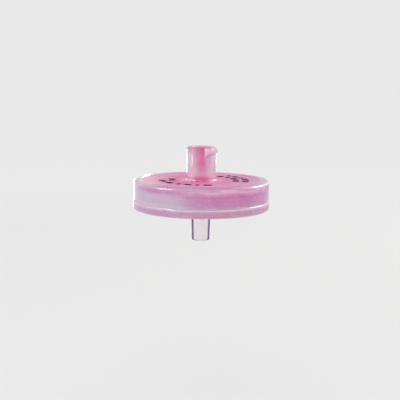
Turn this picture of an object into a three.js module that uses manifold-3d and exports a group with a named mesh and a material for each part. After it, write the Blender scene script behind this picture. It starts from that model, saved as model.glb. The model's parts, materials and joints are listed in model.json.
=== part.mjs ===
// Disposable multi-layer syringe filter: a round housing welded from two moulded halves, with a
// Luer-lock socket on the inlet half, a Luer-slip nozzle on the outlet half, and a stack of
// depth filters, a membrane and two screens clamped between them.
// Millimetres, +Z up. The origin is the centre of the inlet socket's mouth, and the flow runs
// down the Z axis.
import * as THREE from "three";
import { mergeVertices } from "three/addons/utils/BufferGeometryUtils.js";
import Module from "manifold-3d";

// ---- Driving dimensions ----------------------------------------------------------------

// Housing
const HOUSING_RADIUS = 15;
const INLET_PLATE = 1.3; // plate under the hub
const OUTLET_PLATE = 1.7; // plate over the nozzle, whose edge shows below the seam
const SKIRT_WALL = 1.1; // outer wall of the inlet half
const SPIGOT_WALL = 1.15; // inner wall of the outlet half, inside the skirt
const WELD_CLEARANCE = 0.1; // between skirt and spigot
const TOP_EDGE_RADIUS = 0.7;
const BOTTOM_EDGE_CHAMFER = 0.25;
const SEAM_CHAMFER = 0.3; // on the outlet half, so that a groove marks the weld
const RIM_WIDTH = 2.1; // raised rim of the inlet face
const RIM_STEP = 0.15; // how far the inlet face lies below that rim
const RIM_SLOPE = 0.15; // width of the sloping edge between them

// Luer cones: the diameter changes by 6 % of the length
const LUER_TAPER = 0.06;
const SOCKET_MOUTH_DIAMETER = 4.3;
const SOCKET_LEAD_IN = 0.15;
const SOCKET_FLOOR = 1; // under the socket, down to the chamber
const HUB_WALL = 1.1;
const HUB_LENGTH = 7.2; // above the rim
const HUB_EDGE_CHAMFER = 0.12;
const HUB_FOOT_RADIUS = 0.4;
const NOZZLE_TIP_DIAMETER = 3.93;
const NOZZLE_LENGTH = 7.2;
const NOZZLE_FOOT_RADIUS = 0.4;
const NOZZLE_EDGE_CHAMFER = 0.15;
const BORE_RADIUS = 1.05; // flow bore of both halves
const FUNNEL_FLARE = 0.5; // how much wider each bore opens into the chamber
const FUNNEL_DEPTH = 0.5;

// Locking lugs: two on the hub, with a right-hand helical lower flank
const LUG_REACH = 0.65; // out from the hub
const LUG_SPAN = 64; // degrees, with its sloping ends
const LUG_END_SLOPE = 8; // degrees, at each end
const LUG_MIDDLE = -47; // degrees, of the first lug
const LUG_COUNT = 2;
const LUG_STEPS = 8;
const LUG_TOP = 0.1; // below the mouth
const LUG_LEAD_IN = 0.45; // height of the sloping upper flank
const LUG_CREST = 0.95; // height of the crest at its thick end
const LUG_FLANK = 0.75; // drop of the lower flank, from the crest to the hub
const THREAD_LEAD = 5; // rise of the lower flank in one turn

// Layers, from the outlet side up
const SCREEN = 0.4;
const MEMBRANE = 0.2;
const FINE_PREFILTER = 0.35;
const MEDIUM_PREFILTER = 0.4;
const COARSE_PREFILTER = 0.55;
const LAYER_CLEARANCE = 0.15; // between the layers' edge and the spigot
const SCREEN_PITCH = 2.6;
const SCREEN_STRAND = 0.8;

// Ribs that hold the layers off both plates
const RIB_HEIGHT = 0.5;
const RIB_WIDTH = 0.5;
const INLET_RIBS = 8;
const CLAMP_WIDTH = 0.8; // ring that grips the layers' edge, on both halves
const SUPPORT_RINGS = 4;
const CHANNELS = 8; // radial channels through the support rings
const CHANNEL_WIDTH = 0.7;

const ROUND_STEPS = 64; // facets round the axis
const EDGE_STEPS = 5; // facets across the rounded top edge
const FOOT_STEPS = 3; // facets across the fillets at the hub and the nozzle
const OVERLAP = 0.3; // how far shapes that are joined run into each other

// ---- Places worked out from them -------------------------------------------------------

const layersHeight = SCREEN + MEMBRANE + FINE_PREFILTER + MEDIUM_PREFILTER + COARSE_PREFILTER + SCREEN;
const rimHeight = INLET_PLATE + RIB_HEIGHT + layersHeight + RIB_HEIGHT + OUTLET_PLATE;

const rimTop = -HUB_LENGTH;
const inletFace = rimTop - RIM_STEP;
const chamberTop = rimTop - INLET_PLATE;
const layersTop = chamberTop - RIB_HEIGHT;
const layersBottom = layersTop - layersHeight;
const chamberFloor = layersBottom - RIB_HEIGHT;
const seam = chamberFloor;
const rimBottom = rimTop - rimHeight;
const nozzleTip = rimBottom - NOZZLE_LENGTH;

const skirtInside = HOUSING_RADIUS - SKIRT_WALL;
const spigotOutside = skirtInside - WELD_CLEARANCE;
const spigotInside = spigotOutside - SPIGOT_WALL;
const layerRadius = spigotInside - LAYER_CLEARANCE;
const clampInside = layerRadius - CLAMP_WIDTH;

const socketMouth = SOCKET_MOUTH_DIAMETER / 2;
const socketBottom = chamberTop + SOCKET_FLOOR;
const socketEnd = socketMouth + (socketBottom * LUER_TAPER) / 2;
const hubRadius = socketMouth + HUB_WALL;
const nozzleEnd = NOZZLE_TIP_DIAMETER / 2;
const nozzleFootHeight = rimBottom - NOZZLE_FOOT_RADIUS;
const nozzleFoot = nozzleEnd + ((nozzleFootHeight - nozzleTip) * LUER_TAPER) / 2;
const funnelRadius = BORE_RADIUS + FUNNEL_FLARE;

// ---- Geometry helpers ------------------------------------------------------------------

const wasm = await Module();
wasm.setup();

const radians = THREE.MathUtils.degToRad;

// Points of an arc in the radius-height plane, angles in degrees.
function arc(centreRadius, centreHeight, radius, from, to, steps) {
  return Array.from({ length: steps + 1 }, (_, i) => {
    const angle = radians(from + ((to - from) * i) / steps);
    return [centreRadius + radius * Math.cos(angle), centreHeight + radius * Math.sin(angle)];
  });
}

// A closed outline of [radius, height] points, anticlockwise, turned round the Z axis.
function turned(outline) {
  const points = [...outline, outline[0]].map(([radius, height]) => new THREE.Vector2(radius, height));
  return new THREE.LatheGeometry(points, ROUND_STEPS).rotateX(Math.PI / 2);
}

// A ridge round the Z axis. section(degrees) gives its [radius, height] corners, anticlockwise, at
// that many degrees from its start.
function ridge(startDegrees, spanDegrees, steps, section) {
  const position = [];
  const index = [];
  const corners = section(0).length;
  for (let i = 0; i <= steps; i++) {
    const along = (spanDegrees * i) / steps;
    const angle = radians(startDegrees + along);
    for (const [radius, height] of section(along))
      position.push(radius * Math.cos(angle), radius * Math.sin(angle), height);
  }
  for (let i = 0; i < steps; i++)
    for (let j = 0; j < corners; j++) {
      const a = i * corners + j;
      const b = i * corners + ((j + 1) % corners);
      index.push(a, a + corners, b, b, a + corners, b + corners);
    }
  const last = steps * corners;
  for (let j = 1; j < corners - 1; j++) {
    index.push(0, j, j + 1);
    index.push(last, last + j + 1, last + j);
  }
  const geometry = new THREE.BufferGeometry();
  geometry.setAttribute("position", new THREE.Float32BufferAttribute(position, 3));
  return geometry.setIndex(index);
}

// A box from one radius to another along a direction in the XY plane, between two heights.
function spoke(from, to, width, bottom, top, degrees) {
  return new THREE.BoxGeometry(to - from, width, top - bottom)
    .translate((from + to) / 2, 0, (bottom + top) / 2)
    .rotateZ(radians(degrees));
}

function solid(geometry) {
  const bare = geometry.clone();
  bare.deleteAttribute("normal");
  bare.deleteAttribute("uv");
  const merged = mergeVertices(bare, 1e-4);
  return new wasm.Manifold(
    new wasm.Mesh({
      numProp: 3,
      vertProperties: new Float32Array(merged.attributes.position.array),
      triVerts: new Uint32Array(merged.index.array),
    }),
  );
}

function geometryOf(body) {
  const { numProp, vertProperties, triVerts } = body.getMesh();
  const position = new Float32Array((vertProperties.length / numProp) * 3);
  for (let i = 0; i < position.length / 3; i++)
    position.set(vertProperties.subarray(i * numProp, i * numProp + 3), i * 3);
  const geometry = new THREE.BufferGeometry();
  geometry.setAttribute("position", new THREE.BufferAttribute(position, 3));
  geometry.setIndex(new THREE.BufferAttribute(triVerts, 1));
  geometry.computeVertexNormals();
  return geometry;
}

// ---- The pieces ------------------------------------------------------------------------

// Inlet half: hub with its tapered socket, plate, skirt, clamp ring and radial ribs.
function inletHousing() {
  const rimInside = HOUSING_RADIUS - RIM_WIDTH;
  const hubFoot = hubRadius + HUB_FOOT_RADIUS;
  const body = solid(
    turned([
      [socketEnd, socketBottom],
      [BORE_RADIUS, socketBottom],
      [BORE_RADIUS, chamberTop + FUNNEL_DEPTH],
      [funnelRadius, chamberTop],
      [clampInside, chamberTop],
      [clampInside, layersTop],
      [layerRadius, layersTop],
      [layerRadius, chamberTop],
      [skirtInside, chamberTop],
      [skirtInside, seam],
      [HOUSING_RADIUS, seam],
      ...arc(HOUSING_RADIUS - TOP_EDGE_RADIUS, rimTop - TOP_EDGE_RADIUS, TOP_EDGE_RADIUS, 0, 90, EDGE_STEPS),
      [rimInside, rimTop],
      [rimInside - RIM_SLOPE, inletFace],
      ...arc(hubFoot, inletFace + HUB_FOOT_RADIUS, HUB_FOOT_RADIUS, 270, 180, FOOT_STEPS),
      [hubRadius, -HUB_EDGE_CHAMFER],
      [hubRadius - HUB_EDGE_CHAMFER, 0],
      [socketMouth + SOCKET_LEAD_IN, 0],
      [socketMouth - (SOCKET_LEAD_IN * LUER_TAPER) / 2, -SOCKET_LEAD_IN],
    ]),
  );
  const lugs = Array.from({ length: LUG_COUNT }, (_, i) => solid(lug(LUG_MIDDLE + (i * 360) / LUG_COUNT)));
  const ribs = Array.from({ length: INLET_RIBS }, (_, i) =>
    solid(
      spoke(
        funnelRadius + RIB_WIDTH,
        clampInside + OVERLAP,
        RIB_WIDTH,
        layersTop,
        chamberTop + OVERLAP,
        ((i + 0.5) * 360) / INLET_RIBS,
      ),
    ),
  );
  return geometryOf([...lugs, ...ribs].reduce((whole, piece) => whole.add(piece), body));
}

// One locking lug. Its root is inside the hub's wall, and its lower flank rises along the thread.
function lug(middleDegrees) {
  const root = hubRadius - OVERLAP;
  const crestTop = -LUG_TOP - LUG_LEAD_IN;
  return ridge(middleDegrees - LUG_SPAN / 2, LUG_SPAN, LUG_STEPS, (degrees) => {
    const fromEnd = Math.min(degrees, LUG_SPAN - degrees);
    const crest = hubRadius + LUG_REACH * Math.min(1, fromEnd / LUG_END_SLOPE);
    const crestBottom = crestTop - LUG_CREST + (THREAD_LEAD * degrees) / 360;
    return [
      [root, crestBottom - LUG_FLANK],
      [hubRadius, crestBottom - LUG_FLANK],
      [crest, crestBottom],
      [crest, crestTop],
      [hubRadius, -LUG_TOP],
      [root, -LUG_TOP],
    ];
  });
}

// Outlet half: plate, spigot, clamp ledge, support rings cut by radial channels, and the nozzle.
function outletHousing() {
  const pitch = (clampInside - funnelRadius) / (SUPPORT_RINGS + 1);
  const rings = Array.from({ length: SUPPORT_RINGS }, (_, i) => clampInside - (i + 1) * pitch).flatMap(
    (middle) => [
      [middle + RIB_WIDTH / 2, chamberFloor],
      [middle + RIB_WIDTH / 2, layersBottom],
      [middle - RIB_WIDTH / 2, layersBottom],
      [middle - RIB_WIDTH / 2, chamberFloor],
    ],
  );
  const body = solid(
    turned([
      [BORE_RADIUS + NOZZLE_EDGE_CHAMFER, nozzleTip],
      [nozzleEnd - NOZZLE_EDGE_CHAMFER, nozzleTip],
      [nozzleEnd + (NOZZLE_EDGE_CHAMFER * LUER_TAPER) / 2, nozzleTip + NOZZLE_EDGE_CHAMFER],
      ...arc(nozzleFoot + NOZZLE_FOOT_RADIUS, nozzleFootHeight, NOZZLE_FOOT_RADIUS, 180, 90, FOOT_STEPS),
      [HOUSING_RADIUS - BOTTOM_EDGE_CHAMFER, rimBottom],
      [HOUSING_RADIUS, rimBottom + BOTTOM_EDGE_CHAMFER],
      [HOUSING_RADIUS, seam - SEAM_CHAMFER],
      [HOUSING_RADIUS - SEAM_CHAMFER, seam],
      [spigotOutside, seam],
      [spigotOutside, chamberTop],
      [spigotInside, chamberTop],
      [spigotInside, layersBottom],
      [clampInside, layersBottom],
      [clampInside, chamberFloor],
      ...rings,
      [funnelRadius, chamberFloor],
      [BORE_RADIUS, chamberFloor - FUNNEL_DEPTH],
      [BORE_RADIUS, nozzleTip + NOZZLE_EDGE_CHAMFER],
    ]),
  );
  const channels = Array.from({ length: CHANNELS }, (_, i) =>
    solid(
      spoke(
        BORE_RADIUS,
        clampInside - OVERLAP,
        CHANNEL_WIDTH,
        chamberFloor,
        layersBottom + OVERLAP,
        (i * 360) / CHANNELS,
      ),
    ),
  );
  return geometryOf(channels.reduce((whole, channel) => whole.subtract(channel), body));
}

// A plain round layer of the stack.
function sheet(thickness, bottom) {
  return new THREE.CylinderGeometry(layerRadius, layerRadius, thickness, ROUND_STEPS)
    .rotateX(Math.PI / 2)
    .translate(0, 0, bottom + thickness / 2);
}

// A round screen of crossed strands: square gaps, as far out as the edge that the housing grips.
function screen(thickness, bottom) {
  const gap = SCREEN_PITCH - SCREEN_STRAND;
  const reach = Math.floor(clampInside / SCREEN_PITCH);
  let body = solid(sheet(thickness, bottom));
  for (let x = -reach * SCREEN_PITCH; x < clampInside; x += SCREEN_PITCH)
    for (let y = -reach * SCREEN_PITCH; y < clampInside; y += SCREEN_PITCH) {
      const farCorner = Math.hypot(Math.abs(x) + gap / 2, Math.abs(y) + gap / 2);
      if (farCorner < clampInside)
        body = body.subtract(
          solid(new THREE.BoxGeometry(gap, gap, 3 * thickness).translate(x, y, bottom + thickness / 2)),
        );
    }
  return geometryOf(body);
}

// ---- Materials -------------------------------------------------------------------------

const frostedPlastic = new THREE.MeshStandardMaterial({
  color: 0xd2b6d4,
  roughness: 0.4,
  metalness: 0,
  transparent: true,
  opacity: 0.8,
});
const screenPlastic = new THREE.MeshStandardMaterial({ color: 0xe0b4cf, roughness: 0.5, metalness: 0 });
const glassFibre = new THREE.MeshStandardMaterial({ color: 0xcf6ba6, roughness: 0.9, metalness: 0 });
const membraneFilm = new THREE.MeshStandardMaterial({ color: 0xe2a3c8, roughness: 0.6, metalness: 0 });

// ---- Assembly --------------------------------------------------------------------------

const filter = new THREE.Group();

function add(name, geometry, material) {
  const mesh = new THREE.Mesh(geometry, material);
  mesh.name = name;
  filter.add(mesh);
}

add("inlet_housing", inletHousing(), frostedPlastic);
add("outlet_housing", outletHousing(), frostedPlastic);

const stack = [
  ["outlet_screen", screen, SCREEN, screenPlastic],
  ["membrane", sheet, MEMBRANE, membraneFilm],
  ["fine_prefilter", sheet, FINE_PREFILTER, glassFibre],
  ["medium_prefilter", sheet, MEDIUM_PREFILTER, glassFibre],
  ["coarse_prefilter", sheet, COARSE_PREFILTER, glassFibre],
  ["inlet_screen", screen, SCREEN, screenPlastic],
];
let standing = layersBottom;
for (const [name, shape, thickness, material] of stack) {
  add(name, shape(thickness, standing), material);
  standing += thickness;
}

export default filter;
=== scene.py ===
import itertools
import json
import math

import bmesh
import bpy
from mathutils import Matrix, Vector

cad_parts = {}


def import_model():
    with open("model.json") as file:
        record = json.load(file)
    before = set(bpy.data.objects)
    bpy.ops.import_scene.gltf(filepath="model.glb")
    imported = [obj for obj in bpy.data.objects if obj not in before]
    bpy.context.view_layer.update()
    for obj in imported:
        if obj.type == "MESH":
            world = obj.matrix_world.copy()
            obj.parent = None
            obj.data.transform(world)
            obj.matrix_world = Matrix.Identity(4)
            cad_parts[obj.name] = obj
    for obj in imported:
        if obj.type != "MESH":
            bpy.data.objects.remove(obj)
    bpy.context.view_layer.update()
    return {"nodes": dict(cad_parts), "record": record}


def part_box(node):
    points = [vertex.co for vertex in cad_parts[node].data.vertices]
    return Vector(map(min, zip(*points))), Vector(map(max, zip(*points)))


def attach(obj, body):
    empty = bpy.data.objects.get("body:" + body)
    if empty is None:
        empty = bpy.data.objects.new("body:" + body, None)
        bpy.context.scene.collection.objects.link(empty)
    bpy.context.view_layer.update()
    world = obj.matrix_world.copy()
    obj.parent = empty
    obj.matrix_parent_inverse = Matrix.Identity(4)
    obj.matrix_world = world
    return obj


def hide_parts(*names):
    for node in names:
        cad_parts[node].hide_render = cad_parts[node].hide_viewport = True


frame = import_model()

# Syringe filter: two frosted, translucent housing halves with Luer fittings, stained pink by the
# sample, round a stack of filter discs. Metres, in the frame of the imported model: the origin is
# the centre of the inlet's mouth, and +Z is up.

MM = 0.001

# ---- Places, from the frame -------------------------------------------------------------------

MOUNTS = {mount["name"]: Vector(mount["pos_m"]) for mount in frame["record"]["mounts"]}
HOUSING_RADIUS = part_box("inlet_housing")[1].x
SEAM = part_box("inlet_housing")[0].z
CHAMBER_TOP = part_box("outlet_housing")[1].z
NOZZLE_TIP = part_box("outlet_housing")[0].z
LAYERS_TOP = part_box("inlet_screen")[1].z
LAYERS_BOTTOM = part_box("outlet_screen")[0].z
LAYER_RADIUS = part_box("membrane")[1].x
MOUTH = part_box("inlet_housing")[1].z
RIM_TOP = MOUNTS["rim_top"].z
RIM_BOTTOM = MOUNTS["rim_bottom"].z

# ---- Sizes that the frame's boxes don't give --------------------------------------------------

SKIRT_WALL = 1.1 * MM
SPIGOT_WALL = 1.15 * MM
WELD_CLEARANCE = 0.1 * MM
CLAMP_WIDTH = 0.8 * MM
TOP_EDGE = 0.7 * MM  # rounding of the rim's outer edge
FOOT_EDGE = 0.25 * MM  # rounding of the outlet face's edge
SKIRT_SETBACK = 0.1 * MM  # leaves a fine ledge at the seam
SHOULDER = 0.45 * MM  # rounding of that ledge
SHOULDER_STEPS = 6
LEDGE_EDGE = 0.02 * MM  # rounding of the skirt's foot, over that ledge
SEAM_RISE = 0.2 * MM  # of that ledge over the CAD's seam
RIM_WIDTH = 2.1 * MM
RIM_STEP = 0.15 * MM
RIM_SLOPE = 0.15 * MM

LUER_TAPER = 0.06
SOCKET_MOUTH = 2.15 * MM
SOCKET_LEAD_IN = 0.15 * MM
SOCKET_FLOOR = 1.0 * MM
SOCKET_CORNER = 0.15 * MM
HUB_RADIUS = 3.25 * MM
HUB_FOOT = 0.4 * MM
HUB_EDGE = 0.12 * MM
NOZZLE_END = 1.965 * MM
NOZZLE_FOOT = 0.4 * MM
NOZZLE_EDGE = 0.15 * MM
BORE_RADIUS = 1.05 * MM
BORE_EDGE = 0.12 * MM
FUNNEL_FLARE = 0.5 * MM
FUNNEL_DEPTH = 0.5 * MM

LUG_REACH = 0.65 * MM
LUG_SPAN = 64  # degrees round the hub
LUG_END_SLOPE = 8  # degrees, at both ends
LUG_MIDDLE = -47  # degrees round from +X
LUG_COUNT = 2
LUG_TOP = 0.1 * MM
LUG_LEAD_IN = 0.45 * MM
LUG_CREST = 0.95 * MM
LUG_FLANK = 0.75 * MM
LUG_ZONE = 3 * MM  # below the mouth, where the lugs are
THREAD_LEAD = 5 * MM

RIB_WIDTH = 0.5 * MM
INLET_RIBS = 8
SUPPORT_RINGS = 4
CHANNELS = 8
CHANNEL_WIDTH = 0.7 * MM
CHANNEL_STOP = 0.3 * MM  # short of the clamp ledge

PRINT_HEIGHT = 0.015 * MM
PRINT_LINES = (  # inner radius of each broken line, and its first and last degree round from +X
    (8.0 * MM, 187, 285),
    (5.8 * MM, 168, 210),
    (9.1 * MM, -18, 64),
    (7.0 * MM, -18, 64),
)
PRINT_WIDTH = 1.45 * MM
PRINT_TRIM = (0.12 * MM, 0.15 * MM)  # of a mark's corners, along and across
DASHES = ((1.3, 0.9), (0.7, 0.8), (1.6, 1.2), (0.8, 1.0))  # mm printed and left bare, in turn

MOULD_EDGE = 0.08 * MM  # rounding of every edge that has no radius of its own
AROUND = 192  # steps round the axis
LUG_ROW = 0.05 * MM  # height of the hub's rows where the lugs are
FIRST_ROW = 0.14 * MM  # of these below the mouth, clear of its rounding
OVERLAP = 0.3 * MM  # of a rib or a cut past the faces that it starts from
HAIR = 0.01 * MM  # over which faces are told apart

INLET_FACE = RIM_TOP - RIM_STEP
LEDGE = SEAM + SEAM_RISE
SKIRT_INSIDE = HOUSING_RADIUS - SKIRT_WALL
SPIGOT_OUTSIDE = SKIRT_INSIDE - WELD_CLEARANCE
SPIGOT_INSIDE = SPIGOT_OUTSIDE - SPIGOT_WALL
CLAMP_INSIDE = LAYER_RADIUS - CLAMP_WIDTH
FUNNEL_RADIUS = BORE_RADIUS + FUNNEL_FLARE
RING_PITCH = (CLAMP_INSIDE - FUNNEL_RADIUS) / (SUPPORT_RINGS + 1)
SOCKET_BOTTOM = CHAMBER_TOP + SOCKET_FLOOR
SOCKET_END = SOCKET_MOUTH + SOCKET_BOTTOM * LUER_TAPER / 2
NOZZLE_ROOT = NOZZLE_END + (RIM_BOTTOM - NOZZLE_TIP) * LUER_TAPER / 2


# ---- Mesh helpers -----------------------------------------------------------------------------

def rounded(corners, steps=4):
    """A closed outline through (radius, height, fillet) corners, with an arc at each fillet."""
    outline = []
    for i, (radius, height, fillet) in enumerate(corners):
        corner = Vector((radius, height))
        if not fillet:
            outline.append(corner)
            continue
        back = (Vector(corners[i - 1][:2]) - corner).normalized()
        ahead = (Vector(corners[(i + 1) % len(corners)][:2]) - corner).normalized()
        half = back.angle(ahead) / 2
        centre = corner + (back + ahead).normalized() * fillet / math.sin(half)
        start = corner + back * fillet / math.tan(half) - centre
        sweep = start.angle_signed(corner + ahead * fillet / math.tan(half) - centre)
        for step in range(steps + 1):
            turn = Matrix.Rotation(-sweep * step / steps, 2)
            outline.append(centre + turn @ start)
    return outline


def turned(name, outline, bulge=None):
    """A closed outline turned round the Z axis, as a mesh. bulge adds to the radius."""
    mesh = bmesh.new()
    rings = []
    for step in range(AROUND):
        angle = 2 * math.pi * step / AROUND
        ring = []
        for radius, height in outline:
            if bulge:
                radius += bulge(radius, height, angle)
            ring.append(mesh.verts.new((radius * math.cos(angle), radius * math.sin(angle), height)))
        rings.append(ring)
    for ring, after in zip(rings, rings[1:] + rings[:1]):
        for i in range(len(ring)):
            mesh.faces.new((ring[i - 1], after[i - 1], after[i], ring[i]))
    return made(name, mesh)


def made(name, mesh):
    """The finished object of a bmesh, with its faces pointing out."""
    bmesh.ops.recalc_face_normals(mesh, faces=mesh.faces)
    data = bpy.data.meshes.new(name)
    mesh.to_mesh(data)
    mesh.free()
    piece = bpy.data.objects.new(name, data)
    bpy.context.scene.collection.objects.link(piece)
    return piece


def spokes(name, inner, outer, width, bottom, top, count, first=0.0):
    """Boxes that stand out from the axis like spokes, as one mesh. first is in spoke pitches."""
    mesh = bmesh.new()
    size = Vector((outer - inner, width, top - bottom))
    middle = Vector(((inner + outer) / 2, 0, (bottom + top) / 2))
    for i in range(count):
        turn = Matrix.Rotation(2 * math.pi * (i + first) / count, 4, "Z")
        place = turn @ Matrix.Translation(middle) @ Matrix.Diagonal(size.to_4d())
        bmesh.ops.create_cube(mesh, size=1, matrix=place)
    return made(name, mesh)


def apply_modifiers(piece):
    """Bakes a piece's modifiers into its mesh."""
    done = bpy.data.meshes.new_from_object(piece.evaluated_get(bpy.context.evaluated_depsgraph_get()))
    piece.modifiers.clear()
    piece.data = done


def combined(piece, tool, operation):
    """Joins or cuts a piece with a tool piece, which is used up."""
    boolean = piece.modifiers.new("combine", "BOOLEAN")
    boolean.operation = operation
    boolean.solver = "EXACT"
    boolean.object = tool
    apply_modifiers(piece)
    bpy.data.objects.remove(tool)


def smoothed(piece, sharp_degrees=40):
    """Smooth shading that keeps flat faces flat and edges above the given angle sharp."""
    piece.data.shade_smooth()
    piece.data.set_sharp_from_angle(angle=math.radians(sharp_degrees))
    weighted = piece.modifiers.new("weighted", "WEIGHTED_NORMAL")
    weighted.keep_sharp = True
    apply_modifiers(piece)


# ---- Material helpers -------------------------------------------------------------------------

def colour(red, green, blue):
    """A linear colour from the 0 to 255 values that a picture shows."""
    def linear(value):
        value /= 255
        return value / 12.92 if value <= 0.04045 else ((value + 0.055) / 1.055) ** 2.4
    return (linear(red), linear(green), linear(blue), 1)


class Nodes:
    """A material's nodes, with a short call for each kind that is used here."""

    def __init__(self, name):
        self.material = bpy.data.materials.new(name)
        self.start(self.material, "ShaderNodeOutputMaterial")
        self.place = self.node("ShaderNodeTexCoord").outputs["Object"]

    @classmethod
    def of(cls, owner, output):
        """The nodes of something else than a material, such as the world."""
        nodes = cls.__new__(cls)
        nodes.start(owner, output)
        return nodes

    def start(self, owner, output):
        """Empties the owner's node tree, and gives it its output."""
        owner.use_nodes = True
        self.tree = owner.node_tree
        self.tree.nodes.clear()
        self.output = self.tree.nodes.new(output)

    def node(self, kind, settings=None, **inputs):
        """A node with attributes from settings and inputs by name, with _ for a space."""
        node = self.tree.nodes.new(kind)
        for key, value in (settings or {}).items():
            setattr(node, key, value)
        for key, value in inputs.items():
            self.feed(node.inputs[key.replace("_", " ")], value)
        return node

    def feed(self, socket, value):
        """Links an input socket to a node's output, or sets it to a value."""
        if isinstance(value, bpy.types.NodeSocket):
            self.tree.links.new(value, socket)
        else:
            socket.default_value = value

    def math(self, operation, *values):
        node = self.tree.nodes.new("ShaderNodeMath")
        node.operation = operation
        for socket, value in zip(node.inputs, values):
            self.feed(socket, value)
        return node.outputs[0]

    def times(self, *values):
        product = values[0]
        for value in values[1:]:
            product = self.math("MULTIPLY", product, value)
        return product

    def fade(self, value, low, high, to_low=0.0, to_high=1.0):
        """to_low where the value is low, to_high where it is high, and smooth between them."""
        node = self.node(
            "ShaderNodeMapRange", {"interpolation_type": "SMOOTHSTEP"},
            Value=value, From_Min=low, From_Max=high, To_Min=to_low, To_Max=to_high,
        )
        return node.outputs[0]

    def band(self, value, low, high, soft):
        """1 between low and high, and 0 outside, with soft edges of the given width."""
        rise = self.fade(value, low - soft / 2, low + soft / 2)
        fall = self.fade(value, high - soft / 2, high + soft / 2, 1.0, 0.0)
        return self.times(rise, fall)

    def mix(self, share, first, second):
        """The first colour where share is 0, and the second where it is 1."""
        node = self.tree.nodes.new("ShaderNodeMix")
        node.data_type = "RGBA"
        self.feed(node.inputs["Factor"], share)
        self.feed(node.inputs[6], first)  # A, of the colours
        self.feed(node.inputs[7], second)  # B
        return node.outputs[2]

    def ramp(self, value, stops):
        """A colour that runs smoothly through (value, colour) stops."""
        low, high = stops[0][0], stops[-1][0]
        share = self.node("ShaderNodeMapRange", Value=value, From_Min=low, From_Max=high)
        node = self.node("ShaderNodeValToRGB", Fac=share.outputs[0])
        node.color_ramp.interpolation = "EASE"
        first, last = node.color_ramp.elements
        first.color, last.color = stops[0][1], stops[-1][1]
        for place, shade in stops[1:-1]:
            node.color_ramp.elements.new((place - low) / (high - low)).color = shade
        return node.outputs[0]

    def noise(self, size, detail=3.0, roughness=0.55, stretch=(1, 1, 1)):
        """Noise from 0 to 1 whose blotches are about size across."""
        scaled = self.node("ShaderNodeMapping", Vector=self.place, Scale=Vector(stretch) / size)
        texture = self.node(
            "ShaderNodeTexNoise",
            Vector=scaled.outputs[0], Scale=1.0, Detail=detail, Roughness=roughness,
        )
        return texture.outputs[0]

    def between(self, noise, low, high):
        """A value that wanders from low to high with a noise."""
        return self.fade(noise, 0.3, 0.7, low, high)

    def drift(self, noise, reach):
        """A value that wanders by reach to both sides of 0 with a noise."""
        return self.fade(noise, 0.2, 0.8, -reach, reach)

    def bump(self, height, depth, strength):
        """The normal of a surface that a noise raises by up to depth."""
        node = self.node("ShaderNodeBump", Height=height, Distance=depth, Strength=strength)
        return node.outputs[0]

    def axes(self):
        """The coordinates X, Y and Z."""
        return self.node("ShaderNodeSeparateXYZ", Vector=self.place).outputs

    def height(self):
        """The coordinate Z."""
        return self.axes()[2]

    def radius(self):
        """Distance from the Z axis."""
        x, y = self.axes()[:2]
        return self.math("SQRT", self.math("ADD", self.times(x, x), self.times(y, y)))

    def toward(self, degrees):
        """1 at the wall on the given side, 0 on the axis. The front is 0 and +X is 90 degrees."""
        turn = math.radians(degrees)
        along = self.node("ShaderNodeVectorMath", {"operation": "DOT_PRODUCT"})
        self.feed(along.inputs[0], self.place)
        self.feed(along.inputs[1], Vector((math.sin(turn), -math.cos(turn), 0)) / HOUSING_RADIUS)
        return along.outputs["Value"]

    def facing(self):
        """0 where a surface is seen straight on, 1 where it is seen edge on."""
        return self.node("ShaderNodeLayerWeight").outputs["Facing"]

    def principled(self, **inputs):
        """The material's surface, with inputs by name."""
        shader = self.node("ShaderNodeBsdfPrincipled", **inputs)
        self.feed(self.output.inputs["Surface"], shader.outputs[0])
        return shader


# ---- Materials --------------------------------------------------------------------------------

SOAKED_SIDE = 30  # degrees from the front towards +X, where the stack's edge is soaked
OPEN_SIDE = 10  # the front of the housing, round which the sample spreads
FROST = colour(203, 178, 203)
BLOOM = colour(228, 208, 228)
HUB = (  # the hub's wall, by height
    (INLET_FACE, colour(250, 164, 206)),
    (INLET_FACE + 0.5 * MM, colour(250, 184, 216)),
    (INLET_FACE + 1.1 * MM, colour(255, 232, 248)),
    (INLET_FACE + 3.5 * MM, colour(252, 216, 238)),
    (MOUTH, colour(222, 180, 206)),
)
BASE_PINK = colour(206, 150, 186)
BASE_DAMP = colour(196, 132, 174)
BASE_PALE = colour(214, 182, 206)
HUB_CORE = colour(228, 122, 184)
LUG_SHADE = colour(238, 198, 224)
LUG_END = colour(244, 188, 220)
WET_SIDES = (0, 90, 180, 270)  # degrees from the front, where the sample clings to the socket
SOCKET_STAIN = colour(250, 62, 162)
SOCKET_DEEP = colour(232, 16, 116)
SOCKET_PALE = colour(238, 204, 226)
NOZZLE_CLEAR = colour(253, 248, 252)
NOZZLE_DARK = colour(50, 0, 50)

# What shows through the wall, from its foot to its top, with a painted pale band of light along
# the seam's ledge. First where the stack is dry, and then where it is soaked, which also has a
# painted highlight just above the chamber's top.
DRY_WALL_WITH_PAINTED_LIGHT = (
    (RIM_BOTTOM, colour(199, 150, 184)),
    (LEDGE - 0.9 * MM, colour(192, 149, 182)),
    (LEDGE - 0.55 * MM, colour(202, 168, 195)),
    # painted light: these three stops make a pale band along the seam's ledge
    (LEDGE - 0.35 * MM, colour(220, 194, 215)),
    (LEDGE - 0.05 * MM, colour(226, 202, 222)),
    (LEDGE + 0.12 * MM, colour(216, 194, 214)),
    (LEDGE + 0.35 * MM, colour(208, 186, 208)),
    (LEDGE + 0.9 * MM, colour(200, 178, 202)),
    (LAYERS_TOP - 0.4 * MM, colour(208, 179, 204)),
    (LAYERS_TOP + 0.1 * MM, colour(207, 166, 197)),
    (CHAMBER_TOP + 0.1 * MM, colour(194, 138, 178)),
    (CHAMBER_TOP + 0.7 * MM, colour(198, 154, 187)),
    (RIM_TOP - 0.2 * MM, colour(205, 166, 193)),
)
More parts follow.
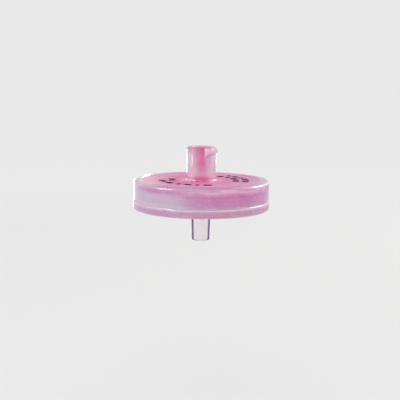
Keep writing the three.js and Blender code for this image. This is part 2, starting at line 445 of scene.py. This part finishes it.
SOAKED_WALL_WITH_PAINTED_LIGHT = (
    (RIM_BOTTOM, colour(199, 151, 181)),
    (LEDGE - 0.9 * MM, colour(197, 148, 179)),
    (LEDGE - 0.55 * MM, colour(204, 158, 188)),
    # painted light: these three stops make a pale band along the seam's ledge
    (LEDGE - 0.35 * MM, colour(222, 184, 208)),
    (LEDGE - 0.05 * MM, colour(228, 186, 212)),
    (LEDGE + 0.12 * MM, colour(216, 168, 196)),
    (LEDGE + 0.35 * MM, colour(200, 140, 184)),
    (LEDGE + 0.7 * MM, colour(198, 132, 180)),
    (LAYERS_TOP - 0.6 * MM, colour(204, 124, 178)),
    (LAYERS_TOP - 0.15 * MM, colour(200, 116, 168)),
    (LAYERS_TOP + 0.3 * MM, colour(209, 142, 184)),
    # painted highlight: a pale band just above the chamber's top
    (CHAMBER_TOP + 0.3 * MM, colour(226, 176, 208)),
    (CHAMBER_TOP + 0.8 * MM, colour(210, 156, 190)),
    (RIM_TOP - 0.2 * MM, colour(202, 142, 178)),
)
RIM_PALE = colour(214, 178, 197)
RIM_PINK = colour(200, 123, 166)
PLATE = (  # the inlet's plate, by distance from the axis
    (HUB_RADIUS, colour(248, 138, 192)),
    (HUB_RADIUS + 3 * MM, colour(230, 116, 172)),
    (HUB_RADIUS + 7 * MM, colour(222, 138, 181)),
    (HOUSING_RADIUS - RIM_WIDTH, colour(216, 150, 190)),
)
PLATE_PALE = colour(244, 180, 205)
FOOT_STAIN = colour(226, 102, 158)
FOOT_PALE = colour(248, 160, 202)
SCREEN_SHADES = (colour(224, 170, 208), colour(206, 132, 180))
FIBRE_BRIGHT = colour(240, 200, 225)
INK_SHADES = (colour(52, 0, 20), colour(84, 6, 40))

PLASTIC_IOR = 1.49
GRAIN = 0.25 * MM  # of the frosted surfaces
GRAIN_DEPTH = 0.01 * MM
GLOSS = 0.05  # roughness of the coats


def frost(nodes, shade):
    """Lays the fine and the cloudy bloom of frosted plastic over a colour."""
    fine = nodes.fade(nodes.noise(0.35 * MM, detail=3), 0.4, 0.75, 0.0, 0.2)
    cloud = nodes.fade(nodes.noise(2.5 * MM, detail=4), 0.4, 0.75, 0.0, 0.15)
    return nodes.mix(cloud, nodes.mix(fine, shade, BLOOM), BLOOM)


def wall_shade(nodes):
    """The colour of the wall and the rim: milky, pink where the sample lies behind it, and painted pale
    light at the seam and over the chamber.
    """
    height = nodes.height()
    drift = nodes.drift(nodes.noise(5 * MM, detail=4), 0.1)
    level = nodes.math("ADD", height, nodes.drift(nodes.noise(3 * MM, detail=3), 0.2 * MM))
    soaked = nodes.fade(nodes.math("ADD", nodes.toward(SOAKED_SIDE), drift), 0.58, 1.0)
    shade = nodes.mix(soaked, nodes.ramp(level, DRY_WALL_WITH_PAINTED_LIGHT), nodes.ramp(level, SOAKED_WALL_WITH_PAINTED_LIGHT))
    front = nodes.math("ADD", nodes.toward(OPEN_SIDE), drift)
    above_seam = nodes.fade(height, SEAM, SEAM + 0.4 * MM)
    clear = nodes.times(above_seam, nodes.fade(front, 0.2, 0.6, 1.0, 0.0))
    shade = nodes.mix(clear, shade, FROST)
    rim = nodes.mix(nodes.fade(front, 0.4, 0.8), RIM_PALE, RIM_PINK)
    on_rim = nodes.fade(height, RIM_TOP - 0.4 * MM, RIM_TOP - 0.1 * MM)
    return frost(nodes, nodes.mix(on_rim, shade, rim))


def by_rib(nodes, aside):
    """1 in a rib's middle, and 0 from a rib's width beside it."""
    return nodes.fade(aside, RIB_WIDTH * 0.2, RIB_WIDTH, 1.0, 0.0)


def ribs_below(nodes, radius):
    """1 over the ribs and the clamp ring that touch the plate from below, 0 between them."""
    x, y = nodes.axes()[:2]
    turn = nodes.math("SUBTRACT", nodes.math("ARCTAN2", y, x), math.pi / INLET_RIBS)
    aside = nodes.times(nodes.math("PINGPONG", turn, math.pi / INLET_RIBS), radius)
    in_chamber = nodes.band(radius, FUNNEL_RADIUS + RIB_WIDTH, CLAMP_INSIDE, 0.6 * MM)
    ribs = nodes.times(by_rib(nodes, aside), in_chamber)
    return nodes.math("MAXIMUM", ribs, nodes.band(radius, CLAMP_INSIDE, LAYER_RADIUS, 0.5 * MM))


def rings_above(nodes, radius):
    """1 below the outlet plate's support rings, 0 between them."""
    aside = nodes.math("PINGPONG", nodes.math("SUBTRACT", CLAMP_INSIDE, radius), RING_PITCH / 2)
    in_chamber = nodes.fade(radius, CLAMP_INSIDE + 0.3 * MM, CLAMP_INSIDE + 0.6 * MM, 1.0, 0.0)
    return nodes.times(by_rib(nodes, aside), in_chamber)


def base_shade(nodes):
    """The colour of the underside, under the damp outlet chamber."""
    radius = nodes.radius()
    damp = nodes.fade(nodes.noise(4 * MM, detail=4), 0.2, 0.8)
    chamber = nodes.mix(damp, BASE_PINK, BASE_DAMP)
    shade = nodes.mix(nodes.fade(radius, CLAMP_INSIDE, LAYER_RADIUS), chamber, BASE_PALE)
    rings = nodes.times(rings_above(nodes, radius), 0.35)
    return frost(nodes, nodes.mix(rings, shade, BASE_PALE))


def in_front(nodes, radius):
    """1 in front of the hub, where the sample gathers at its foot; 0 at its sides and behind it."""
    cosine = nodes.times(nodes.math("DIVIDE", nodes.toward(0), radius), HOUSING_RADIUS)
    return nodes.fade(cosine, 0.74, 0.98)


def plate_shade(nodes):
    """The colour of the inlet's plate, over the chamber that holds the sample."""
    radius = nodes.radius()
    drift = nodes.drift(nodes.noise(4 * MM, detail=4), 0.15)
    ribs = nodes.times(ribs_below(nodes, radius), 0.2)
    shade = nodes.mix(ribs, nodes.ramp(radius, PLATE), PLATE_PALE)
    pale = nodes.times(
        nodes.fade(nodes.math("ADD", nodes.toward(-90), drift), 0.3, 0.8),
        nodes.fade(radius, HUB_RADIUS + 3 * MM, HOUSING_RADIUS - RIM_WIDTH),
    )
    shade = nodes.mix(pale, shade, PLATE_PALE)
    foot = nodes.fade(radius, HUB_RADIUS + 0.5 * MM, HUB_RADIUS + 2 * MM, 1.0, 0.0)
    stained = nodes.mix(in_front(nodes, radius), FOOT_PALE, FOOT_STAIN)
    return frost(nodes, nodes.mix(foot, shade, stained))


def grained(nodes):
    """The normal of a frosted surface."""
    return nodes.bump(nodes.noise(GRAIN, detail=2), GRAIN_DEPTH, 0.4)


def frosted_plastic(name, shade_of, roughness, coat_of=None):
    """Moulded milky polypropylene. shade_of gives its colour, and coat_of its gloss."""
    nodes = Nodes(name)
    nodes.principled(
        Base_Color=shade_of(nodes),
        Roughness=nodes.between(nodes.noise(1.5 * MM), roughness - 0.05, roughness + 0.05),
        IOR=PLASTIC_IOR,
        Specular_IOR_Level=0.2,
        Subsurface_Weight=0.8,
        Subsurface_Radius=(1.0, 0.7, 0.95),
        Subsurface_Scale=1.0 * MM,
        Coat_Weight=coat_of(nodes) if coat_of else 0.0,
        Coat_Roughness=GLOSS,
        Normal=grained(nodes),
    )
    return nodes.material


def edge_gloss(nodes):
    """The mould's gloss: strong on the rim's edge, the foot's and one half of the seam's."""
    height = nodes.height()
    right = nodes.toward(90)
    rim = nodes.times(
        nodes.band(height, RIM_TOP - TOP_EDGE, RIM_TOP - 0.06 * MM, 0.1 * MM),
        nodes.fade(right, 0.8, 0.93, 1.0, 0.25),
    )
    seam = nodes.times(
        nodes.band(height, LEDGE - SHOULDER, LEDGE + 0.05 * MM, 0.1 * MM),
        nodes.fade(nodes.toward(40), 0.0, 0.4),
        nodes.fade(right, 0.75, 0.93, 1.0, 0.1),
    )
    foot = nodes.band(height, RIM_BOTTOM + 0.03 * MM, RIM_BOTTOM + 0.25 * MM, 0.04 * MM)
    edges = nodes.math("MAXIMUM", foot, nodes.math("MAXIMUM", rim, seam))
    inner = HOUSING_RADIUS - TOP_EDGE
    outermost = nodes.fade(nodes.radius(), inner - 0.1 * MM, inner)
    return nodes.fade(nodes.times(edges, outermost), 0.0, 1.0, 0.12, 1.0)


def moulded_wall(name):
    """The wall's frosted plastic, glossy at its edges."""
    return frosted_plastic(name, wall_shade, 0.45, edge_gloss)


def moulded_plate(name, shade_of):
    """The plates' frosted plastic, dull all over."""
    return frosted_plastic(name, shade_of, 0.6)


def streaks(nodes, radius, edge):
    """1 where the sample clings to the hub's bore, on a wall of the given radius; 0 beside it."""
    wander = nodes.drift(nodes.noise(2 * MM, detail=2, stretch=(1, 1, 0.5)), 0.02)
    reach = radius / HOUSING_RADIUS
    wet = 0.0
    for side in WET_SIDES:
        along = nodes.math("ADD", nodes.toward(side), wander)
        wet = nodes.math("MAXIMUM", wet, nodes.fade(along, reach * edge, reach))
    return wet


def frosted_sleeve(name):
    """The hub's frosted wall, thin enough to show the stained socket inside it."""
    nodes = Nodes(name)
    height, radius = nodes.height(), nodes.radius()
    body = nodes.times(
        nodes.fade(height, INLET_FACE + 0.2 * MM, INLET_FACE + 0.8 * MM, 1.0, 0.75),
        nodes.fade(height, INLET_FACE + 0.8 * MM, MOUTH - LUG_ZONE, 1.0, 0.57),
    )
    lug = nodes.times(
        nodes.fade(radius, HUB_RADIUS + 0.05 * MM, HUB_RADIUS + 0.3 * MM),
        nodes.fade(height, MOUTH - LUG_ZONE - 1 * MM, MOUTH - LUG_ZONE),
    )
    lead_in = nodes.times(
        lug,
        nodes.fade(height, MOUTH - LUG_LEAD_IN - LUG_TOP - 0.1 * MM, MOUTH - LUG_LEAD_IN),
    )
    core = nodes.times(
        streaks(nodes, HUB_RADIUS, 0.8),
        nodes.fade(height, INLET_FACE + 1 * MM, MOUTH - 2 * MM, 0.35, 0.8),
    )
    foot = nodes.times(
        in_front(nodes, radius),
        nodes.fade(height, INLET_FACE + 0.3 * MM, INLET_FACE + 1.6 * MM, 1.0, 0.0),
    )
    shade = nodes.mix(core, nodes.ramp(height, HUB), HUB_CORE)
    shade = frost(nodes, nodes.mix(foot, shade, FOOT_STAIN))
    nodes.principled(
        Base_Color=nodes.mix(lug, shade, LUG_SHADE),
        Roughness=nodes.between(nodes.noise(1.5 * MM), 0.25, 0.35),
        IOR=PLASTIC_IOR,
        Specular_IOR_Level=0.3,
        Alpha=nodes.math("MAXIMUM", nodes.times(lug, 0.85), body),
        Coat_Weight=nodes.fade(lead_in, 0.0, 1.0, 0.6, 0.05),
        Coat_Roughness=GLOSS,
        Normal=grained(nodes),
    )
    return nodes.material


def lug_face(name):
    """The lugs' thick ends, which are opaque and a little pinker than the rest of them."""
    nodes = Nodes(name)
    nodes.principled(
        Base_Color=frost(nodes, LUG_END),
        Roughness=nodes.between(nodes.noise(GRAIN, detail=2), 0.25, 0.35),
        IOR=PLASTIC_IOR,
        Coat_Weight=0.6,
        Coat_Roughness=GLOSS,
        Normal=grained(nodes),
    )
    return nodes.material


def stained_socket(name):
    """The socket's wall, wet with the sample in broad streaks below its mouth."""
    nodes = Nodes(name)
    grain = nodes.noise(0.8 * MM, detail=4, stretch=(1, 1, 0.3))
    near_mouth = nodes.fade(nodes.height(), MOUTH - 2 * MM, MOUTH - 0.3 * MM)
    behind = nodes.fade(nodes.toward(0), 0.0, 0.05, 0.75, 0.0)
    wet = nodes.times(
        streaks(nodes, SOCKET_MOUTH, 0.68),
        nodes.math("SUBTRACT", 1.0, nodes.times(near_mouth, behind)),
        nodes.between(grain, 1.0, 0.85),
    )
    stain = nodes.mix(near_mouth, SOCKET_STAIN, SOCKET_DEEP)
    nodes.principled(
        Base_Color=nodes.mix(wet, SOCKET_PALE, stain),
        Roughness=nodes.between(grain, 0.15, 0.3),
        IOR=PLASTIC_IOR,
        Subsurface_Weight=0.5,
        Subsurface_Scale=0.5 * MM,
        Normal=nodes.bump(grain, 0.02 * MM, 0.3),
    )
    return nodes.material


def clear_plastic(name):
    """The nozzle's thin, clear wall, which darkens where it is seen edge on."""
    nodes = Nodes(name)
    grain = nodes.noise(1 * MM, detail=2)
    outside = nodes.fade(nodes.radius(), BORE_RADIUS + 0.2 * MM, BORE_RADIUS + 0.5 * MM)
    edge = nodes.times(nodes.fade(nodes.facing(), 0.26, 0.5), outside)
    nodes.principled(
        Base_Color=nodes.mix(edge, NOZZLE_CLEAR, NOZZLE_DARK),
        Roughness=nodes.between(grain, 0.03, 0.08),
        IOR=PLASTIC_IOR,
        Transmission_Weight=0.97,
        Normal=nodes.bump(grain, 0.002 * MM, 0.2),
    )
    return nodes.material


def filter_fibre(name, shade, deep):
    """Felted glass fibre, wet with the pink sample."""
    nodes = Nodes(name)
    fibres = nodes.noise(0.3 * MM, detail=6, roughness=0.7, stretch=(1, 1, 2))
    tint = nodes.mix(nodes.between(nodes.noise(5 * MM, detail=3), 0.0, 1.0), shade, deep)
    nodes.principled(
        Base_Color=nodes.mix(nodes.fade(fibres, 0.35, 0.65, 0.0, 0.35), tint, FIBRE_BRIGHT),
        Roughness=nodes.between(fibres, 0.7, 0.9),
        Normal=nodes.bump(fibres, 0.05 * MM, 0.6),
    )
    return nodes.material


def moulded_screen(name):
    """Screen plastic, pink from the sample, with fine mould marks."""
    nodes = Nodes(name)
    marks = nodes.noise(0.4 * MM, detail=4)
    nodes.principled(
        Base_Color=nodes.mix(nodes.between(nodes.noise(4 * MM), 0.0, 1.0), *SCREEN_SHADES),
        Roughness=nodes.between(marks, 0.4, 0.55),
        IOR=PLASTIC_IOR,
        Normal=nodes.bump(marks, 0.02 * MM, 0.4),
    )
    return nodes.material


def pad_ink(name):
    """Dark printing ink, a little uneven."""
    nodes = Nodes(name)
    patches = nodes.noise(0.35 * MM, detail=4)
    nodes.principled(
        Base_Color=nodes.mix(nodes.fade(patches, 0.45, 0.8), *INK_SHADES),
        Roughness=nodes.between(patches, 0.5, 0.7),
        Specular_IOR_Level=0.0,
        Normal=nodes.bump(patches, 0.01 * MM, 0.3),
    )
    return nodes.material


# ---- The pieces -------------------------------------------------------------------------------

def along_lug(angle):
    """Degrees round the hub from the thick end of the last lug."""
    return (math.degrees(angle) - LUG_MIDDLE + LUG_SPAN / 2) % (360 / LUG_COUNT)


def lug_bulge(radius, height, angle):
    """How far the locking lugs stand out of the hub at a point of its outer wall."""
    if abs(radius - HUB_RADIUS) > HAIR / 10:
        return 0.0
    along = along_lug(angle)
    from_end = min(along, LUG_SPAN - along)
    crest_top = MOUTH - LUG_TOP - LUG_LEAD_IN
    crest_bottom = crest_top - LUG_CREST + THREAD_LEAD * along / 360
    share = min(
        1.0,
        from_end / LUG_END_SLOPE,
        1 - (height - crest_top) / LUG_LEAD_IN,
        1 - (crest_bottom - height) / LUG_FLANK,
    )
    return LUG_REACH * max(0.0, share)


def inlet_housing():
    """Upper half: hub with its socket and lugs, plate, skirt, clamp ring and ribs."""
    edge = MOULD_EDGE
    rim_inside = HOUSING_RADIUS - RIM_WIDTH
    lug_rows = int((LUG_LEAD_IN + LUG_CREST + LUG_FLANK + LUG_TOP) / LUG_ROW) + 2
    hub_rows = [(HUB_RADIUS, MOUTH - FIRST_ROW - LUG_ROW * i, 0) for i in reversed(range(lug_rows))]
    outline = rounded([
        (SOCKET_END, SOCKET_BOTTOM, SOCKET_CORNER),
        (BORE_RADIUS, SOCKET_BOTTOM, edge),
        (BORE_RADIUS, CHAMBER_TOP + FUNNEL_DEPTH, edge),
        (FUNNEL_RADIUS, CHAMBER_TOP, edge),
        (CLAMP_INSIDE, CHAMBER_TOP, edge),
        (CLAMP_INSIDE, LAYERS_TOP, edge),
        (LAYER_RADIUS, LAYERS_TOP, edge),
        (LAYER_RADIUS, CHAMBER_TOP, edge),
        (SKIRT_INSIDE, CHAMBER_TOP, edge),
        (SKIRT_INSIDE, LEDGE, edge),
        (HOUSING_RADIUS - SKIRT_SETBACK, LEDGE, LEDGE_EDGE),
        (HOUSING_RADIUS - SKIRT_SETBACK, RIM_TOP, TOP_EDGE),
        (rim_inside, RIM_TOP, edge),
        (rim_inside - RIM_SLOPE, INLET_FACE, edge),
        (HUB_RADIUS, INLET_FACE, HUB_FOOT),
        *hub_rows,
        (HUB_RADIUS, MOUTH, HUB_EDGE),
        (SOCKET_MOUTH + SOCKET_LEAD_IN, MOUTH, edge),
        (SOCKET_MOUTH - SOCKET_LEAD_IN * LUER_TAPER / 2, MOUTH - SOCKET_LEAD_IN, edge),
    ])
    piece = turned("inlet_half", outline, lug_bulge)
    ribs = spokes(
        "ribs", FUNNEL_RADIUS + RIB_WIDTH, CLAMP_INSIDE + OVERLAP, RIB_WIDTH,
        LAYERS_TOP, CHAMBER_TOP + OVERLAP, INLET_RIBS, first=0.5,
    )
    combined(piece, ribs, "UNION")
    smoothed(piece)
    return piece


def outlet_housing():
    """Lower half: plate, spigot, clamp ledge, support rings with channels, and the nozzle."""
    edge = MOULD_EDGE
    floor = SEAM
    rings = []
    for i in range(SUPPORT_RINGS):
        middle = CLAMP_INSIDE - (i + 1) * RING_PITCH
        rings += [
            (middle + RIB_WIDTH / 2, floor, edge),
            (middle + RIB_WIDTH / 2, LAYERS_BOTTOM, edge),
            (middle - RIB_WIDTH / 2, LAYERS_BOTTOM, edge),
            (middle - RIB_WIDTH / 2, floor, edge),
        ]
    top = math.acos(1 - SKIRT_SETBACK / SHOULDER)
    shoulder = []
    for step in range(SHOULDER_STEPS + 1):
        rise = top * step / SHOULDER_STEPS
        shoulder.append((
            HOUSING_RADIUS - SHOULDER * (1 - math.cos(rise)),
            LEDGE - SHOULDER * (math.sin(top) - math.sin(rise)),
            0,
        ))
    outline = rounded([
        (BORE_RADIUS, NOZZLE_TIP, BORE_EDGE),
        (NOZZLE_END, NOZZLE_TIP, NOZZLE_EDGE),
        (NOZZLE_ROOT, RIM_BOTTOM, NOZZLE_FOOT),
        (HOUSING_RADIUS, RIM_BOTTOM, FOOT_EDGE),
        *shoulder,
        (SPIGOT_OUTSIDE, LEDGE, edge),
        (SPIGOT_OUTSIDE, CHAMBER_TOP, edge),
        (SPIGOT_INSIDE, CHAMBER_TOP, edge),
        (SPIGOT_INSIDE, LAYERS_BOTTOM, edge),
        (CLAMP_INSIDE, LAYERS_BOTTOM, edge),
        (CLAMP_INSIDE, floor, edge),
        *rings,
        (FUNNEL_RADIUS, floor, edge),
        (BORE_RADIUS, floor - FUNNEL_DEPTH, edge),
    ])
    piece = turned("outlet_half", outline)
    channels = spokes(
        "channels", BORE_RADIUS, CLAMP_INSIDE - CHANNEL_STOP, CHANNEL_WIDTH,
        floor, LAYERS_BOTTOM + OVERLAP, CHANNELS,
    )
    combined(piece, channels, "DIFFERENCE")
    smoothed(piece)
    return piece


def print_mark(mesh, inner, first, last):
    """Adds a flat patch with trimmed corners, from one direction to another."""
    trim_along, trim_across = PRINT_TRIM
    trim = trim_along / inner
    rings = []
    for angle, inset in (
        (first, trim_across), (first + trim, 0), (last - trim, 0), (last, trim_across),
    ):
        out = Vector((math.cos(angle), math.sin(angle), 0))
        near = out * (inner + inset)
        far = out * (inner + PRINT_WIDTH - inset)
        below = Vector((0, 0, INLET_FACE - PRINT_HEIGHT))
        above = Vector((0, 0, INLET_FACE + PRINT_HEIGHT))
        corners = (near + below, far + below, far + above, near + above)
        rings.append([mesh.verts.new(corner) for corner in corners])
    for ring, after in zip(rings, rings[1:]):
        for i in range(4):
            mesh.faces.new((ring[i - 1], after[i - 1], after[i], ring[i]))
    mesh.faces.new(rings[0])
    mesh.faces.new(rings[-1])


def print_marks():
    """Arcs of plain broken lines, printed on the inlet face on both sides of the hub."""
    mesh = bmesh.new()
    for inner, first, last in PRINT_LINES:
        start = math.radians(first)
        for printed, bare in itertools.cycle(DASHES):
            end = start + printed * MM / inner
            if end > math.radians(last):
                break
            print_mark(mesh, inner, start, end)
            start = end + bare * MM / inner
    return made("print_marks", mesh)


WALL, PLATE_TOP, SLEEVE, SOCKET, LUG_FACE = range(5)  # the inlet half's materials, in order
BASE, NOZZLE = 1, 2  # the outlet half's, after its wall


def dressed(piece, node, slot, material_of, *materials):
    """
    Gives a half its materials, and puts it in its node's place.
    material_of picks one of the materials for the face at a centre.
    """
    piece.data.materials.clear()
    for material in materials:
        piece.data.materials.append(material)
    for face in piece.data.polygons:
        face.material_index = material_of(face.center)
    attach(piece, "root")
    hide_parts(node)


def inlet_zone(centre):
    """Which of the inlet half's materials the face at a centre has."""
    radius, height = centre.to_2d().length, centre.z
    if radius < SOCKET_MOUTH + SOCKET_LEAD_IN / 2:
        return SOCKET
    if height > INLET_FACE + HAIR and radius < HUB_RADIUS + LUG_REACH:
        on_lug = radius > HUB_RADIUS + 4 * HAIR and height > MOUTH - LUG_ZONE
        on_end = on_lug and along_lug(math.atan2(centre.y, centre.x)) < LUG_END_SLOPE
        return LUG_FACE if on_end else SLEEVE
    on_plate = radius < HOUSING_RADIUS - RIM_WIDTH and height > CHAMBER_TOP + 0.1 * MM
    return PLATE_TOP if on_plate else WALL


def outlet_zone(centre):
    """Which of the outlet half's materials the face at a centre has."""
    if centre.z < RIM_BOTTOM - NOZZLE_FOOT:
        return NOZZLE
    return BASE if centre.z < RIM_BOTTOM + HAIR else WALL


def dress_layer(node, material):
    """Gives one of the frame's own pieces its material."""
    data = frame["nodes"][node].data
    data.materials.clear()
    data.materials.append(material)


dressed(
    inlet_housing(), "inlet_housing", "inlet_plastic", inlet_zone,
    moulded_wall("frosted_wall"),
    moulded_plate("frosted_plate", plate_shade),
    frosted_sleeve("frosted_hub"),
    stained_socket("stained_socket"),
    lug_face("lug_face"),
)
dressed(
    outlet_housing(), "outlet_housing", "outlet_plastic", outlet_zone,
    moulded_wall("frosted_outlet"),
    moulded_plate("frosted_base", base_shade),
    clear_plastic("clear_nozzle"),
)

marks = print_marks()
marks.data.materials.append(pad_ink("pad_ink"))
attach(marks, "root")

dress_layer("inlet_screen", moulded_screen("screen_top"))
dress_layer("outlet_screen", moulded_screen("screen_bottom"))
for node, name, shade, deep in (
    ("coarse_prefilter", "fibre_coarse", colour(200, 90, 150), colour(180, 60, 125)),
    ("medium_prefilter", "fibre_medium", colour(205, 105, 160), colour(185, 75, 135)),
    ("fine_prefilter", "fibre_fine", colour(210, 120, 170), colour(190, 90, 145)),
    ("membrane", "membrane_film", colour(225, 165, 205), colour(210, 140, 185)),
):
    dress_layer(node, filter_fibre(name, shade, deep))

# ---- Stage ------------------------------------------------------------------------------------

FLOOR_DROP = 34 * MM  # below the nozzle's tip
BOWL_RADIUS = 1300 * MM
BOWL_BEND = 700 * MM
BOWL_TOP = 900 * MM
BEND_STEPS = 16
BOWL_AROUND = 96
PAPER_SHADES = (colour(247, 246, 245), colour(251, 250, 249))
BACKDROP = colour(250, 250, 250)
BACKDROP_SEEN = 0.87  # strength of the backdrop for what looks at it
SKY_LIGHT = 0.5  # strength of the sky for what it lights
SHADOW_REACH = (150 * MM, 350 * MM)  # where the paper stops to show the lamps' light and shadow
PAPER_LIFT = (0.65, 0.95)  # share of the paper's own glow inside that reach, and beyond it

CAMERA_TARGET = Vector((-0.23 * MM, 0, -11.87 * MM))
CAMERA_DISTANCE = 159.6 * MM
CAMERA_PITCH = 8.92  # degrees down
CAMERA_ROLL = 0.71  # degrees
CAMERA_NEAR, CAMERA_FAR = 5 * MM, 5000 * MM
LENS, SENSOR = 64.8, 36  # in millimetres, as Blender takes them


def looks(nodes):
    """1 for a ray that shows what it meets: from the camera, or by way of gloss or clear plastic."""
    rays = nodes.node("ShaderNodeLightPath").outputs
    through = nodes.math("MAXIMUM", rays["Is Glossy Ray"], rays["Is Transmission Ray"])
    return nodes.math("MAXIMUM", rays["Is Camera Ray"], through)


def pale_paper(name):
    """Backdrop paper. What looks at it sees it paler; it lights the part as it is."""
    nodes = Nodes(name)
    paper = nodes.principled(
        Base_Color=nodes.mix(nodes.noise(3 * MM, detail=4), *PAPER_SHADES),
        Roughness=0.9,
        Specular_IOR_Level=0.0,
    )
    lift = nodes.fade(nodes.radius(), *SHADOW_REACH, *PAPER_LIFT)
    glow = nodes.node("ShaderNodeEmission", Color=BACKDROP, Strength=BACKDROP_SEEN)
    blend = nodes.node("ShaderNodeMixShader", Fac=nodes.times(looks(nodes), lift))
    nodes.feed(blend.inputs[1], paper.outputs[0])
    nodes.feed(blend.inputs[2], glow.outputs[0])
    nodes.feed(nodes.output.inputs["Surface"], blend.outputs[0])
    return nodes.material


def studio_bowl():
    """A pale floor that bends up into a wall all round, so that every side has the same backdrop."""
    floor = NOZZLE_TIP - FLOOR_DROP
    mesh = bmesh.new()
    profile = [Vector((0.0, floor)), Vector((BOWL_RADIUS - BOWL_BEND, floor))]
    for step in range(1, BEND_STEPS + 1):
        angle = math.pi / 2 * step / BEND_STEPS
        profile.append(Vector((
            BOWL_RADIUS - BOWL_BEND + BOWL_BEND * math.sin(angle),
            floor + BOWL_BEND * (1 - math.cos(angle)),
        )))
    profile.append(Vector((BOWL_RADIUS, floor + BOWL_TOP)))
    verts = [mesh.verts.new((radius, 0, height)) for radius, height in profile]
    edges = [mesh.edges.new(pair) for pair in zip(verts, verts[1:])]
    bmesh.ops.spin(
        mesh, geom=verts + edges, cent=(0, 0, 0), axis=(0, 0, 1),
        angle=2 * math.pi, steps=BOWL_AROUND,
    )
    bmesh.ops.remove_doubles(mesh, verts=mesh.verts, dist=HAIR)
    bowl = made("studio_bowl", mesh)
    bowl.data.flip_normals()
    bowl.data.shade_smooth()
    bowl.data.materials.append(pale_paper("pale_paper"))


def area_light(name, place, size, power, along=(0, 0, 1), gleam=False):
    """
    A softbox that looks at the housing, with size[1] measured along the given direction.
    A gleam shows only as a reflection, and lights nothing.
    """
    data = bpy.data.lights.new(name, "AREA")
    data.shape = "RECTANGLE"
    data.size, data.size_y = size
    data.energy = power
    light = bpy.data.objects.new(name, data)
    light.location = place
    out = (Vector(place) - Vector((0, 0, (RIM_TOP + RIM_BOTTOM) / 2))).normalized()
    across = Vector(along).cross(out).normalized()
    light.rotation_mode = "QUATERNION"
    light.rotation_quaternion = Matrix((across, out.cross(across), out)).transposed().to_quaternion()
    light.visible_camera = False
    light.visible_transmission = False
    light.visible_diffuse = not gleam
    bpy.context.scene.collection.objects.link(light)


def camera():
    """The main view, from the front: a little from above, and rolled a little."""
    data = bpy.data.cameras.new("camera")
    data.sensor_width = SENSOR
    data.lens = LENS
    data.clip_start = CAMERA_NEAR
    data.clip_end = CAMERA_FAR
    viewer = bpy.data.objects.new("camera", data)
    pitch = math.radians(CAMERA_PITCH)
    ahead = Vector((0, math.cos(pitch), -math.sin(pitch)))
    roll = Matrix.Rotation(math.radians(CAMERA_ROLL), 3, "Z").to_quaternion()
    viewer.location = CAMERA_TARGET - ahead * CAMERA_DISTANCE
    viewer.rotation_mode = "QUATERNION"
    viewer.rotation_quaternion = ahead.to_track_quat("-Z", "Y") @ roll
    bpy.context.scene.collection.objects.link(viewer)
    bpy.context.scene.camera = viewer


def world():
    """A pale sky over the bowl, which also looks paler than it lights."""
    sky = bpy.data.worlds.new("world")
    nodes = Nodes.of(sky, "ShaderNodeOutputWorld")
    background = nodes.node(
        "ShaderNodeBackground",
        Color=BACKDROP,
        Strength=nodes.fade(looks(nodes), 0.0, 1.0, SKY_LIGHT, BACKDROP_SEEN),
    )
    nodes.feed(nodes.output.inputs["Surface"], background.outputs[0])
    bpy.context.scene.world = sky


studio_bowl()
area_light("top", (-0.05, 0.02, 0.42), (0.35, 0.35), 0.21)
area_light("front_left", (-0.41, -0.19, 0.12), (0.30, 0.19), 0.79)
area_light("front_right", (0.32, -0.34, 0.10), (0.22, 0.22), 0.65)
area_light("back_right", (0.215, 0.245, 0.24), (0.16, 0.30), 0.4)
area_light(
    "strip_right", (0.242, 0.126, 0.108), (0.013, 0.30), 0.7, along=(-0.321, 0.873, -0.364), gleam=True,
)
area_light("spot_left", (-0.278, -0.125, 0.155), (0.13, 0.05), 0.55, gleam=True)
area_light("edge_left", (-0.07, 0.235, -0.0375), (0.10, 0.033), 0.11, gleam=True)
area_light("rim_left", (-0.0355, 0.297, 0.022), (0.007, 0.018), 0.006, gleam=True)
world()
camera()
bpy.context.scene.view_settings.view_transform = "Standard"
